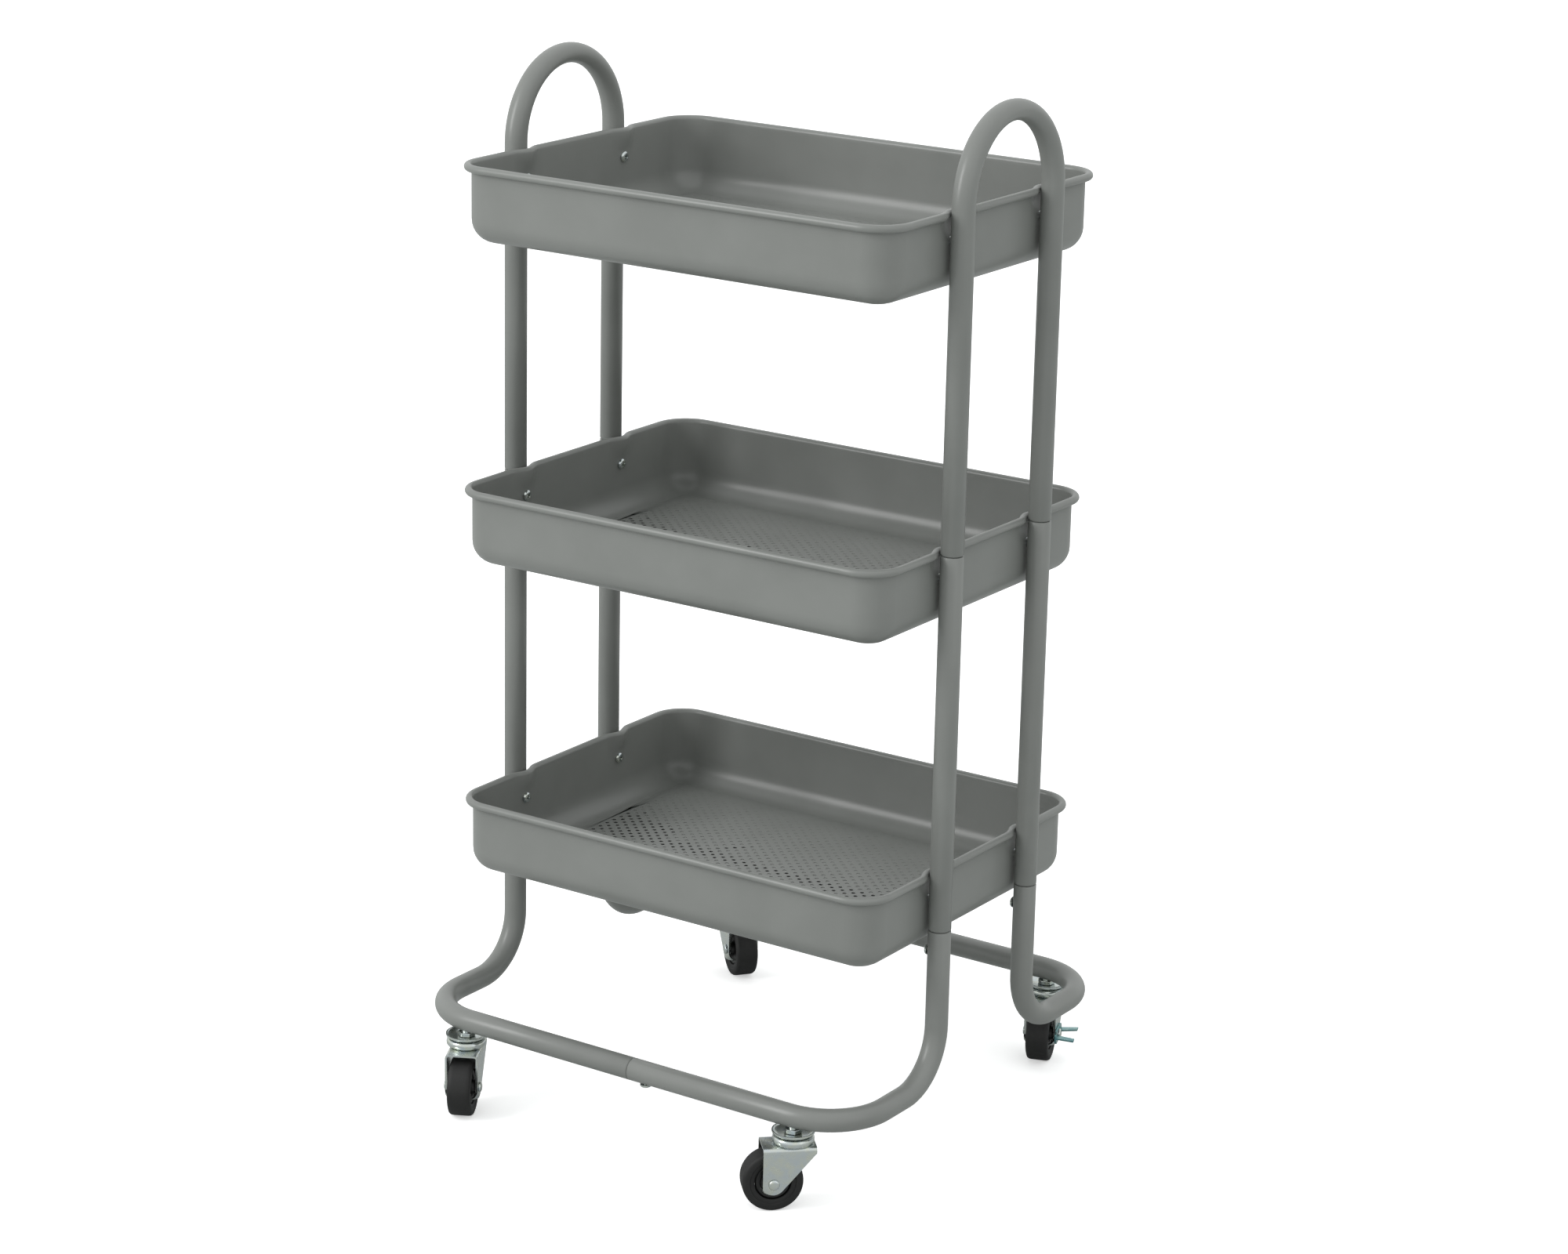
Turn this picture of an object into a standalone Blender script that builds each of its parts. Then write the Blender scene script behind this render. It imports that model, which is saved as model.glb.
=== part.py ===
"""Rolling utility cart: three drawn steel trays hung between two tube end frames on swivel casters.

The cart stands on the plane Z = 0. X runs along the long side of the trays and -Y is the front.
Every size is in metres. The four corners are named fl, fr, bl and br: front or back, left or right.
"""
import math

import bmesh
import bpy
from mathutils import Vector

# Fits
GAP = 0.0003                    # between pieces that touch
SLIP = 0.00035                  # all round a swaged tube end in its socket
HOLE_PLAY = 0.0003              # all round a screw or a pin in its hole

# Tube frame
TUBE_R = 0.0095
TUBE_WALL = 0.001
TUBE_SIDES = 12
LEG_X = 0.2175                  # centre of the cart to a leg, along the trays
LEG_Y = 0.0675                  # centre of the cart to a leg, across the trays
RAIL_Y = 0.1995                 # centre of the cart to a base rail
RAIL_Z = 0.078
BEND_DOWN = 0.048               # centreline radius where a leg turns outwards
BEND_CORNER = 0.054             # centreline radius where the base turns into the rail
ARCH_RISE = 0.070               # arch centreline above the top rim
ARCH_FLATTEN = 0.9              # height of the bent tube's section over its width, at the crown
SWAGE_LENGTH = 0.034
SWAGE_TAPER = 0.0012
RAIL_SEAM_X = 0.007
UPPER_SEAM_BELOW_RIM = 0.004    # arch meets upright, below the middle rim
LOWER_SEAM_BELOW_RIM = 0.049    # upright meets base tube, below the bottom rim
BEND_STEPS = 4
ARCH_STEPS = 10

# Trays
TRAY_COUNT = 3
TRAY_PITCH = 0.271
BOTTOM_RIM_Z = 0.258
SHEET = 0.0009
TRAY_Y = 0.1578                 # half width over the outside of the long walls
TRAY_DEPTH = 0.066
CORNER_R = 0.0265               # wall corner, outside
FLOOR_FILLET = 0.020            # wall into floor, outside
BEAD_R = 0.0033
PRESS_HALF_LENGTH = 0.018       # length of rim pressed in, each way from a leg
PRESS_FADE = 0.017              # depth below the rim at which the pressing has died out
WALL_TO_TUBE = 0.0008
CORNER_STEPS = 3
FILLET_STEPS = 2

# Screws
SHANK_R = 0.002
HEAD_R = 0.0048
HEAD_H = 0.0026
SCREW_SIDES = 8
SCREW_REACH = 0.0085            # length of the shank
TRAY_SCREW_BELOW_RIM = 0.0255
JOINT_SCREW_BELOW_SEAM = 0.019
RAIL_SCREW_FROM_SEAM = 0.0136

# Casters
CASTER_X = 0.167
CASTER_TRAIL = 0.017
WHEEL_R = 0.025
WHEEL_WIDTH = 0.020
WHEEL_SIDES = 20
HUB_SIDES = 12
HUB_R = 0.0146
AXLE_R = 0.003
AXLE_HEAD_R = 0.0044
AXLE_HEAD_H = 0.0018
FORK_SHEET = 0.0016
FORK_HALF_WIDTH = 0.014
FORK_BELOW_CUP = 0.007          # top of the fork's plate below the underside of the cup
FORK_BACK = 0.0175              # plate behind the swivel axis
FORK_BOSS_R = 0.009
FORK_HEEL_DROP = 0.0035         # straight edge below the plate, behind the swivel axis
RACE_R = 0.0172
CUP_R = 0.0177
CUP_BELOW_RAIL = 0.0055         # underside of the cup below the underside of the rail
CUP_H = 0.0038
CUP_FLOOR = 0.0013
RACE_SIDES = 14
STUD_R = 0.004
SPINDLE_R = 0.0042
RIVET_R = 0.0062                # closing head on the spindle, under the fork's plate
RIVET_H = 0.0015
HEX_FLATS = 0.013
LEVER_SHEET = 0.0015
LEVER_HALF_SPAN = 0.0135
LEVER_HALF_HEIGHT = 0.006
LEVER_REACH = 0.0165
# Rest direction of each wheel's trail, in degrees from +X, and whether the caster has a brake.
CASTERS = {"fl": (-62.0, False), "fr": (-137.0, False), "bl": (-38.0, False), "br": (-70.0, True)}

SMOOTH_ANGLE = math.radians(35)

# Places that follow from the sizes above
RIMS_Z = [BOTTOM_RIM_Z + TRAY_PITCH * i for i in range(TRAY_COUNT)]
TRAY_NAMES = ["bottom_tray", "middle_tray", "top_tray"]
CUP_Z = RAIL_Z - TUBE_R - CUP_BELOW_RAIL
FORK_TOP_Z = CUP_Z - FORK_BELOW_CUP
TRAY_X = LEG_X - TUBE_R - WALL_TO_TUBE
UPPER_SEAM_Z = RIMS_Z[1] - UPPER_SEAM_BELOW_RIM
LOWER_SEAM_Z = RIMS_Z[0] - LOWER_SEAM_BELOW_RIM
SPRING_Z = RIMS_Z[-1] + ARCH_RISE - LEG_Y
SWAGE_R = TUBE_R - TUBE_WALL - SLIP
RAIL_UNDERSIDE_Z = RAIL_Z - TUBE_R
CORNERS = {"fl": (-1, -1), "fr": (1, -1), "bl": (-1, 1), "br": (1, 1)}


def clear_scene():
    """Remove every object that is already there."""
    for obj in list(bpy.data.objects):
        bpy.data.objects.remove(obj, do_unlink=True)


def make_material(name, colour, metallic, roughness):
    """Return a Principled material of one colour."""
    material = bpy.data.materials.new(name)
    material.use_nodes = True
    shader = material.node_tree.nodes["Principled BSDF"]
    shader.inputs["Base Color"].default_value = (*colour, 1.0)
    shader.inputs["Metallic"].default_value = metallic
    shader.inputs["Roughness"].default_value = roughness
    return material


def add_object(name, mesh, location=(0, 0, 0), rotation=(0, 0, 0), parent=None):
    """Link a mesh to the scene as a named object."""
    obj = bpy.data.objects.new(name, mesh)
    obj.location = location
    obj.rotation_euler = rotation
    obj.parent = parent
    bpy.context.collection.objects.link(obj)
    return obj


def finish_mesh(name, bm, material=None):
    """Turn a bmesh into a mesh with outward faces, smooth but for its sharp edges."""
    bmesh.ops.recalc_face_normals(bm, faces=bm.faces)
    mesh = bpy.data.meshes.new(name)
    bm.to_mesh(mesh)
    bm.free()
    mesh.shade_smooth()
    mesh.set_sharp_from_angle(angle=SMOOTH_ANGLE)
    if material:
        mesh.materials.append(material)
    return mesh


def skin(loops, closed):
    """Join loops of equally many points, one after the other, into a closed skin."""
    bm = bmesh.new()
    rings = [[bm.verts.new(point) for point in loop] for loop in loops]
    pairs = list(zip(rings, rings[1:]))
    if closed:
        pairs.append((rings[-1], rings[0]))
    else:
        bm.faces.new(rings[0])
        bm.faces.new(rings[-1])
    for low, high in pairs:
        for i in range(len(low)):
            j = (i + 1) % len(low)
            bm.faces.new((low[i], low[j], high[j], high[i]))
    return bm


def circle(radius, z, sides):
    """Points of a level circle about the Z axis, the first one on +X."""
    angles = [2 * math.pi * i / sides for i in range(sides)]
    return [(radius * math.cos(a), radius * math.sin(a), z) for a in angles]


def turned_mesh(name, outline, sides, material, closed):
    """Turn an outline of (radius, height) points about the Z axis."""
    return finish_mesh(name, skin([circle(r, z, sides) for r, z in outline], closed), material)


def prism_mesh(name, outline, depth, material=None):
    """Extrude a flat outline of (x, z) points from -depth / 2 to depth / 2 along Y."""
    bm = bmesh.new()
    face = bm.faces.new([bm.verts.new((x, -depth / 2, z)) for x, z in outline])
    moved = bmesh.ops.extrude_face_region(bm, geom=[face])["geom"]
    corners = [item for item in moved if isinstance(item, bmesh.types.BMVert)]
    bmesh.ops.translate(bm, vec=(0, depth, 0), verts=corners)
    return finish_mesh(name, bm, material)


def combine(obj, tool, operation):
    """Cut, join or intersect obj with tool by a Boolean, apply it and remove tool."""
    modifier = obj.modifiers.new(operation.lower(), "BOOLEAN")
    modifier.operation = operation
    modifier.solver = "EXACT"
    modifier.object = tool
    bpy.context.view_layer.update()
    depsgraph = bpy.context.evaluated_depsgraph_get()
    mesh = bpy.data.meshes.new_from_object(obj.evaluated_get(depsgraph))
    mesh.set_sharp_from_angle(angle=SMOOTH_ANGLE)
    obj.modifiers.clear()
    obj.data = mesh
    bpy.data.objects.remove(tool, do_unlink=True)


def drill(obj, centre, axis, radius, length):
    """Cut a round hole of the given length through obj, centred on a point."""
    half = length / 2
    mesh = turned_mesh("drill", [(radius, -half), (radius, half)], SCREW_SIDES, None, False)
    tool = add_object("drill", mesh, centre, Vector(axis).to_track_quat("Z", "Y").to_euler())
    combine(obj, tool, "DIFFERENCE")


def arc(centre, start, end, steps):
    """Points of a quarter turn about centre, from centre + start to centre + end."""
    angles = [math.pi / 2 * i / steps for i in range(steps + 1)]
    return [Vector(centre) + Vector(start) * math.cos(a) + Vector(end) * math.sin(a) for a in angles]


# ---------------------------------------------------------------- trays

def tray_outline(inset, z, pressed):
    """One level loop of a tray: a rounded rectangle, its short sides pressed in at the legs."""
    half_x = TRAY_X - inset
    half_y = TRAY_Y - inset
    radius = CORNER_R - inset
    shifts = [PRESS_HALF_LENGTH * share for share in (-1.0, -0.5, -0.22, 0.0, 0.22, 0.5, 1.0)]
    side = [LEG_Y * sign + shift for sign in (-1, 1) for shift in shifts]
    loop = []
    for turn, (sx, sy) in enumerate(((1, 1), (-1, 1), (-1, -1), (1, -1))):
        centre = (sx * (half_x - radius), sy * (half_y - radius))
        for i in range(CORNER_STEPS + 1):
            angle = math.pi / 2 * (turn + i / CORNER_STEPS)
            loop.append((centre[0] + radius * math.cos(angle), centre[1] + radius * math.sin(angle), z))
        if turn in (1, 3):
            for y in (side if sx > 0 else reversed(side)):
                reach = min(abs(abs(y) - LEG_Y) / PRESS_HALF_LENGTH, 1.0)
                depth = pressed * math.cos(reach * math.pi / 2) ** 2
                loop.append((sx * (half_x - depth), y, z))
    return loop


def tray_mesh(material):
    """The pressed tray, its rim's top at Z = 0: one sheet with a rolled bead round its rim."""
    bead_centre = BEAD_R - SHEET                      # outwards from the wall's outside
    bead_join = math.asin(-bead_centre / BEAD_R)
    press = bead_centre + BEAD_R - WALL_TO_TUBE + GAP
    floor_z = -TRAY_DEPTH
    loops = []
    for i in range(FILLET_STEPS + 1):
        angle = math.pi / 2 * (1 - i / FILLET_STEPS)
        inset = FLOOR_FILLET * (1 - math.cos(angle))
        loops.append(tray_outline(inset, floor_z + FLOOR_FILLET * (1 - math.sin(angle)), 0.0))
    loops.append(tray_outline(0.0, -PRESS_FADE, 0.0))
    start = bead_join - math.pi / 2
    for angle in (start, math.radians(-60), 0.0, math.radians(48), math.pi / 2, math.pi):
        outwards = bead_centre + BEAD_R * math.cos(angle)
        loops.append(tray_outline(-outwards, -BEAD_R + BEAD_R * math.sin(angle), press))
    loops.append(tray_outline(SHEET, -PRESS_FADE, 0.0))
    inner_fillet = FLOOR_FILLET - SHEET
    for i in range(FILLET_STEPS + 1):
        angle = math.pi / 2 * i / FILLET_STEPS
        inset = SHEET + inner_fillet * (1 - math.cos(angle))
        loops.append(tray_outline(inset, floor_z + FLOOR_FILLET - inner_fillet * math.sin(angle), 0.0))
    tray = add_object("tray", finish_mesh("tray", skin(loops, False), material))
    for sx, sy in CORNERS.values():
        place = (sx * (TRAY_X - SHEET / 2), sy * LEG_Y, -TRAY_SCREW_BELOW_RIM)
        drill(tray, place, (1, 0, 0), SHANK_R + HOLE_PLAY, 8 * SHEET)
    mesh = tray.data
    bpy.data.objects.remove(tray)
    return mesh


# ---------------------------------------------------------------- tube frame

def tube_mesh(name, stations, material):
    """Sweep a hollow tube through stations of (point, outer radius, height share across the bend)."""
    points = [station[0] for station in stations]
    ahead = [(b - a).normalized() for a, b in zip(points, points[1:])]
    outer = []
    inner = []
    across = Vector((1, 0, 0))
    previous = ahead[0]
    for i, (point, radius, share) in enumerate(stations):
        before = ahead[max(i - 1, 0)]
        after = ahead[min(i, len(ahead) - 1)]
        along = (before + after).normalized()
        across = previous.rotation_difference(along) @ across
        other = along.cross(across)
        previous = along
        for loop, reach in ((outer, radius), (inner, radius - TUBE_WALL)):
            ring = circle(reach, 0, TUBE_SIDES)
            loop.append([point + across * x + other * y * share for x, y, _ in ring])
    return finish_mesh(name, skin(outer + inner[::-1], True), material)


def swaged_end(seam, direction):
    """Stations of a tube end drawn down to slip into the next tube, from its tip to full size."""
    direction = Vector(direction)
    return [
        (seam + direction * SWAGE_LENGTH, SWAGE_R, 1.0),
        (seam, SWAGE_R, 1.0),
        (seam - direction * SWAGE_TAPER, TUBE_R, 1.0),
    ]


def screw_hole(obj, place, axis):
    """Cut the hole for a screw through the near wall of a tube."""
    drill(obj, place, axis, SHANK_R + HOLE_PLAY, 2 * TUBE_R)


def arch_mesh(material):
    """The right arch: two legs and the half-round handle that joins them, swaged at both ends."""
    front = Vector((0, -LEG_Y, UPPER_SEAM_Z))
    back = Vector((0, LEG_Y, UPPER_SEAM_Z))
    stations = swaged_end(front, (0, 0, -1))
    for i in range(ARCH_STEPS + 1):
        angle = math.pi * i / ARCH_STEPS
        point = Vector((0, -LEG_Y * math.cos(angle), SPRING_Z + LEG_Y * math.sin(angle)))
        stations.append((point, TUBE_R, 1 - (1 - ARCH_FLATTEN) * math.sin(angle)))
    stations += swaged_end(back, (0, 0, -1))[::-1]
    arch = add_object("arch", tube_mesh("arch", stations, material))
    for y in (-LEG_Y, LEG_Y):
        for rim_z in RIMS_Z[1:]:
            screw_hole(arch, (-TUBE_R, y, rim_z - TRAY_SCREW_BELOW_RIM), (1, 0, 0))
    mesh = arch.data
    bpy.data.objects.remove(arch)
    return mesh


def upright_mesh(material):
    """A right upright: a plain socket on top and a swaged end below."""
    top = Vector((0, 0, UPPER_SEAM_Z - GAP))
    stations = swaged_end(Vector((0, 0, LOWER_SEAM_Z)), (0, 0, -1)) + [(top, TUBE_R, 1.0)]
    upright = add_object("upright", tube_mesh("upright", stations, material))
    for z in (
        RIMS_Z[1] - TRAY_SCREW_BELOW_RIM,
        RIMS_Z[0] - TRAY_SCREW_BELOW_RIM,
        LOWER_SEAM_Z - JOINT_SCREW_BELOW_SEAM,
    ):
        screw_hole(upright, (-TUBE_R, 0, z), (1, 0, 0))
    mesh = upright.data
    bpy.data.objects.remove(upright)
    return mesh


def base_mesh(material, swaged):
    """A base tube at the front right: down from the leg, out to the front and along the rail."""
    points = [Vector((LEG_X, -LEG_Y, LOWER_SEAM_Z - GAP))]
    centre = (LEG_X, -LEG_Y - BEND_DOWN, RAIL_Z + BEND_DOWN)
    points += arc(centre, (0, BEND_DOWN, 0), (0, 0, -BEND_DOWN), BEND_STEPS)
    centre = (LEG_X - BEND_CORNER, -RAIL_Y + BEND_CORNER, RAIL_Z)
    points += arc(centre, (BEND_CORNER, 0, 0), (0, -BEND_CORNER, 0), BEND_STEPS)
    stations = [(point, TUBE_R, 1.0) for point in points]
    if swaged:
        # This tube reaches past the middle: its seam lies on the far side of it.
        seam = Vector((-RAIL_SEAM_X, -RAIL_Y, RAIL_Z))
        screw_x = -RAIL_SEAM_X - RAIL_SCREW_FROM_SEAM
        stations += swaged_end(seam, (-1, 0, 0))[::-1]
    else:
        seam = Vector((RAIL_SEAM_X + GAP, -RAIL_Y, RAIL_Z))
        screw_x = RAIL_SEAM_X + RAIL_SCREW_FROM_SEAM
        stations.append((seam, TUBE_R, 1.0))
    base = add_object("base", tube_mesh("base", stations, material))
    leg_screw_z = LOWER_SEAM_Z - JOINT_SCREW_BELOW_SEAM
    screw_hole(base, (LEG_X - TUBE_R, -LEG_Y, leg_screw_z), (1, 0, 0))
    screw_hole(base, (screw_x, -RAIL_Y, RAIL_UNDERSIDE_Z), (0, 0, 1))
    drill(base, (CASTER_X, -RAIL_Y, RAIL_UNDERSIDE_Z), (0, 0, 1), STUD_R + HOLE_PLAY, 2 * TUBE_R)
    mesh = base.data
    bpy.data.objects.remove(base)
    return mesh


def mirrored_mesh(mesh, name):
    """A copy of a mesh mirrored from right to left."""
    bm = bmesh.new()
    bm.from_mesh(mesh)
    bmesh.ops.scale(bm, vec=(-1, 1, 1), verts=bm.verts)
    return finish_mesh(name, bm, mesh.materials[0])


# ---------------------------------------------------------------- casters

def stem_mesh(material):
    """Threaded stud, hex collar and riveted spindle, turned as one piece about the swivel axis."""
    collar_low = CUP_Z + CUP_FLOOR + GAP
    collar_high = RAIL_UNDERSIDE_Z - GAP
    plate_low = FORK_TOP_Z - FORK_SHEET
    flats = []
    for z in (collar_low, collar_high):
        ring = []
        for i in range(12):
            corner = HEX_FLATS / 2 / math.cos(math.radians(30))
            reach = corner if i % 2 == 0 else HEX_FLATS / 2
            angle = math.radians(30 * i)
            ring.append((reach * math.cos(angle), reach * math.sin(angle), z))
        flats.append(ring)
    loops = [
        circle(RIVET_R, plate_low - GAP - RIVET_H, 12),
        circle(RIVET_R, plate_low - GAP, 12),
        circle(SPINDLE_R, plate_low - GAP, 12),
        circle(SPINDLE_R, collar_low, 12),
        *flats,
        circle(STUD_R, collar_high, 12),
        circle(STUD_R, RAIL_Z + STUD_R, 12),
    ]
    return finish_mesh("stem", skin(loops, False), material)


def cup_mesh(material):
    """The fixed upper race: a dished cup that the hex collar clamps."""
    bore = SPINDLE_R + HOLE_PLAY
    outline = [
        (bore, CUP_Z),
        (CUP_R * 0.66, CUP_Z),
        (CUP_R, CUP_Z + CUP_H * 0.45),
        (CUP_R, CUP_Z + CUP_H),
        (CUP_R - CUP_FLOOR, CUP_Z + CUP_H),
        (CUP_R * 0.6, CUP_Z + CUP_FLOOR),
        (bore, CUP_Z + CUP_FLOOR),
    ]
    return turned_mesh("cup", outline, RACE_SIDES, material, True)


def fork_mesh(material):
    """The stamped fork: a channel over the wheel, trimmed to tapered legs, with the lower race."""
    inner = FORK_HALF_WIDTH - FORK_SHEET
    bend = 2 * FORK_SHEET
    top = FORK_TOP_Z
    half = [(FORK_HALF_WIDTH, 0.0), (FORK_HALF_WIDTH, top - bend)]
    half += [(FORK_HALF_WIDTH - bend * 0.3, top - bend * 0.3), (FORK_HALF_WIDTH - bend, top)]
    inside = [(inner - FORK_SHEET, top - FORK_SHEET), (inner, top - bend), (inner, 0.0)]
    section = half + [(-y, z) for y, z in half[::-1]] + [(-y, z) for y, z in inside[::-1]] + inside
    front = CASTER_TRAIL + FORK_BOSS_R
    loops = [[(x, y, z) for y, z in section] for x in (-FORK_BACK, front)]
    fork = add_object("fork", finish_mesh("fork", skin(loops, False), material))

    heel = (-FORK_BACK - GAP, top - FORK_SHEET - FORK_HEEL_DROP)
    dx = heel[0] - CASTER_TRAIL
    dz = heel[1] - WHEEL_R
    tangent = math.atan2(dz, dx) + math.acos(FORK_BOSS_R / math.hypot(dx, dz)) - 2 * math.pi
    side = [(heel[0], top + GAP), (front, top + GAP)]
    for i in range(7):
        angle = tangent * i / 6
        side.append((CASTER_TRAIL + FORK_BOSS_R * math.cos(angle), WHEEL_R + FORK_BOSS_R * math.sin(angle)))
    side.append(heel)
    combine(fork, add_object("side", prism_mesh("side", side, 4 * FORK_HALF_WIDTH)), "INTERSECT")

    race_top = CUP_Z - GAP
    race = [
        (SPINDLE_R + 2 * HOLE_PLAY, top - FORK_SHEET / 2),
        (FORK_HALF_WIDTH - bend, top - FORK_SHEET / 2),
        (RACE_R, top + (race_top - top) * 0.35),
        (RACE_R, top + (race_top - top) * 0.8),
        (RACE_R * 0.88, race_top),
        (RACE_R * 0.7, race_top),
        (RACE_R * 0.6, top + (race_top - top) * 0.2),
        (SPINDLE_R + 2 * HOLE_PLAY, top + (race_top - top) * 0.2),
    ]
    combine(fork, add_object("race", turned_mesh("race", race, RACE_SIDES, None, True)), "UNION")
    drill(fork, (0, 0, top), (0, 0, 1), SPINDLE_R + 3 * HOLE_PLAY, 10 * FORK_SHEET)
    drill(fork, (CASTER_TRAIL, 0, WHEEL_R), (0, 1, 0), AXLE_R + HOLE_PLAY, 4 * FORK_HALF_WIDTH)
    mesh = fork.data
    bpy.data.objects.remove(fork)
    return mesh


def tyre_mesh(material):
    """The rubber tyre, its axis on Z: a flat tread with rounded shoulders and a bore for the hub."""
    half = WHEEL_WIDTH / 2
    bore = (HUB_R + GAP) / math.cos(math.pi / WHEEL_SIDES)
    right = [(bore, half * 0.9), (WHEEL_R * 0.9, half), (WHEEL_R, half * 0.55)]
    outline = right + [(r, -z) for r, z in right[::-1]]
    return turned_mesh("tyre", outline, WHEEL_SIDES, material, True)


def hub_mesh(material):
    """The hub, its axis on Z: a rim web and a boss that keeps the wheel between the fork's legs."""
    half = FORK_HALF_WIDTH - FORK_SHEET - GAP
    bore = AXLE_R + HOLE_PLAY
    right = [(bore, half), (AXLE_HEAD_R * 1.3, half), (AXLE_HEAD_R * 1.5, half * 0.55), (HUB_R, half * 0.6)]
    outline = right + [(r, -z) for r, z in right[::-1]]
    return turned_mesh("hub", outline, HUB_SIDES, material, True)


def axle_mesh(material, lever_side):
    """The axle rivet, its axis on Z, with a head outside each leg or outside the brake lever."""
    near = FORK_HALF_WIDTH + GAP
    far = near + (LEVER_SHEET + GAP if lever_side else 0.0)
    outline = [
        (AXLE_HEAD_R * 0.7, -near - AXLE_HEAD_H),
        (AXLE_HEAD_R, -near - AXLE_HEAD_H * 0.5),
        (AXLE_HEAD_R, -near),
        (AXLE_R, -near),
        (AXLE_R, far),
        (AXLE_HEAD_R, far),
        (AXLE_HEAD_R, far + AXLE_HEAD_H * 0.5),
        (AXLE_HEAD_R * 0.7, far + AXLE_HEAD_H),
    ]
    return turned_mesh("axle", outline, SCREW_SIDES, material, False)


def lever_mesh(material):
    """The brake rocker about its pivot: an upright plate on the axle with a treadle at each end."""
    span = LEVER_HALF_SPAN
    tall = LEVER_HALF_HEIGHT
    plate = [(-span, -tall * 0.3), (-span * 0.5, -tall), (span * 0.5, -tall), (span, -tall * 0.3)]
    plate += [(x, -z) for x, z in plate[::-1]]
    lever = add_object("lever", prism_mesh("lever", plate, LEVER_SHEET, material))
    for sign in (-1, 1):
        treadle = [(sign * span * 0.5, -LEVER_SHEET / 2), (sign * span, -LEVER_SHEET / 2)]
        treadle += [(x, -z) for x, z in treadle[::-1]]
        tab = add_object("treadle", prism_mesh("treadle", treadle, LEVER_REACH), (0, LEVER_REACH / 2, 0))
        combine(lever, tab, "UNION")
    drill(lever, (0, 0, 0), (0, 1, 0), AXLE_R + HOLE_PLAY, 4 * LEVER_SHEET)
    mesh = lever.data
    bpy.data.objects.remove(lever)
    return mesh


# ---------------------------------------------------------------- assembly

def screw_mesh(material):
    """A pan-head screw: its head's underside at Z = 0, its shank down to the middle of the tube."""
    outline = [
        (SHANK_R, -SCREW_REACH),
        (SHANK_R, 0.0),
        (HEAD_R, 0.0),
        (HEAD_R * 0.96, HEAD_H * 0.5),
        (HEAD_R * 0.6, HEAD_H),
    ]
    return turned_mesh("screw", outline, SCREW_SIDES, material, False)


def add_screw(name, mesh, seat, axis):
    """Place a screw with its head's underside on seat and its head pointing along axis."""
    add_object(name, mesh, seat, Vector(axis).to_track_quat("Z", "Y").to_euler())


def build_frame(paint, zinc):
    """The tube frame and every screw that holds the frame and the trays together."""
    arch = arch_mesh(paint)
    add_object("handle_arch_right", arch, (LEG_X, 0, 0))
    add_object("handle_arch_left", arch, (-LEG_X, 0, 0), (0, 0, math.pi))
    upright = upright_mesh(paint)
    plain = base_mesh(paint, False)
    swaged = mirrored_mesh(base_mesh(paint, True), "swaged_base")
    add_object("base_tube_fr", plain)
    add_object("base_tube_bl", plain, rotation=(0, 0, math.pi))
    add_object("base_tube_fl", swaged)
    add_object("base_tube_br", swaged, rotation=(0, 0, math.pi))
    screw = screw_mesh(zinc)
    for corner, (sx, sy) in CORNERS.items():
        turn = 0 if sx > 0 else math.pi
        add_object("upright_" + corner, upright, (sx * LEG_X, sy * LEG_Y, 0), (0, 0, turn))
        for tray, rim_z in zip(TRAY_NAMES, RIMS_Z):
            seat = (sx * (TRAY_X - SHEET - GAP), sy * LEG_Y, rim_z - TRAY_SCREW_BELOW_RIM)
            add_screw(f"{tray}_screw_{corner}", screw, seat, (-sx, 0, 0))
        seat = (sx * (LEG_X - TUBE_R - GAP), sy * LEG_Y, LOWER_SEAM_Z - JOINT_SCREW_BELOW_SEAM)
        add_screw("leg_joint_screw_" + corner, screw, seat, (-sx, 0, 0))
    for side, sign in (("front", 1), ("back", -1)):
        x = sign * (RAIL_SEAM_X + RAIL_SCREW_FROM_SEAM)
        seat = (x, -sign * RAIL_Y, RAIL_UNDERSIDE_Z - GAP)
        add_screw(f"{side}_rail_screw", screw, seat, (0, 0, -1))


def build_casters(zinc, rubber, plastic):
    """Four swivel casters, each on an empty on its swivel axis, the back two with a brake."""
    stem = stem_mesh(zinc)
    cup = cup_mesh(zinc)
    fork = fork_mesh(zinc)
    tyre = tyre_mesh(rubber)
    hub = hub_mesh(plastic)
    lever = lever_mesh(zinc)
    for corner, (sx, sy) in CORNERS.items():
        trail_angle, has_brake = CASTERS[corner]
        name = "caster_" + corner
        place = (sx * CASTER_X, sy * RAIL_Y, 0)
        add_object(name + "_stem", stem, place)
        add_object(name + "_cup", cup, place)
        swivel = add_object(name + "_swivel", None, place, (0, 0, math.radians(trail_angle)))
        add_object(name + "_fork", fork, parent=swivel)
        axle_place = (CASTER_TRAIL, 0, WHEEL_R)
        along_axle = (-math.pi / 2, 0, 0)
        add_object(name + "_axle", axle_mesh(zinc, has_brake), axle_place, along_axle, swivel)
        add_object(name + "_tyre", tyre, axle_place, along_axle, swivel)
        add_object(name + "_hub", hub, axle_place, along_axle, swivel)
        if has_brake:
            beside = (CASTER_TRAIL, FORK_HALF_WIDTH + GAP + LEVER_SHEET / 2, WHEEL_R)
            add_object(name + "_brake_lever", lever, beside, parent=swivel)


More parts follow.
